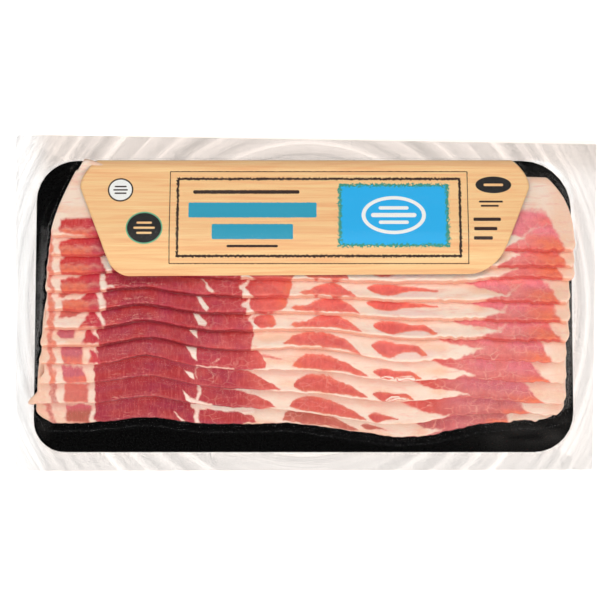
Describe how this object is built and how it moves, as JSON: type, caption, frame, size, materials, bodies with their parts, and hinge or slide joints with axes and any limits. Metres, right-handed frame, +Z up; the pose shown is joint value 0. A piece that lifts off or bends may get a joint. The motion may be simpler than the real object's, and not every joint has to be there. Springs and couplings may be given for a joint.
{
  "type": "bacon pack",
  "caption": "Flat clear vacuum pouch holding shingled bacon slices on a black backing board, with a label flap folded over them.",
  "frame": {"origin": "middle of the pouch's footprint, on the surface that it lies on", "axes": "+X runs along the slices, +Y points to the side where the label flap is folded, +Z is up, out of the shown side"},
  "size_m": [0.275, 0.1612, 0.0254],
  "materials": {
    "film": "thin clear glossy vacuum film",
    "board": "black coated board with a soft sheen",
    "label": "pale wood-grain print on coated board",
    "bacon": "moist cured and smoked pork, lean and fat streaks"
  },
  "bodies": {
    "root": {"film_back": "film", "board": "board", "slice_01": "bacon", "slice_02": "bacon", "slice_03": "bacon", "slice_04": "bacon", "slice_05": "bacon", "slice_06": "bacon", "slice_07": "bacon", "slice_08": "bacon", "slice_09": "bacon", "slice_10": "bacon", "slice_11": "bacon", "label_flap": "label", "film_front": "film"}
  },
  "joints": []
}
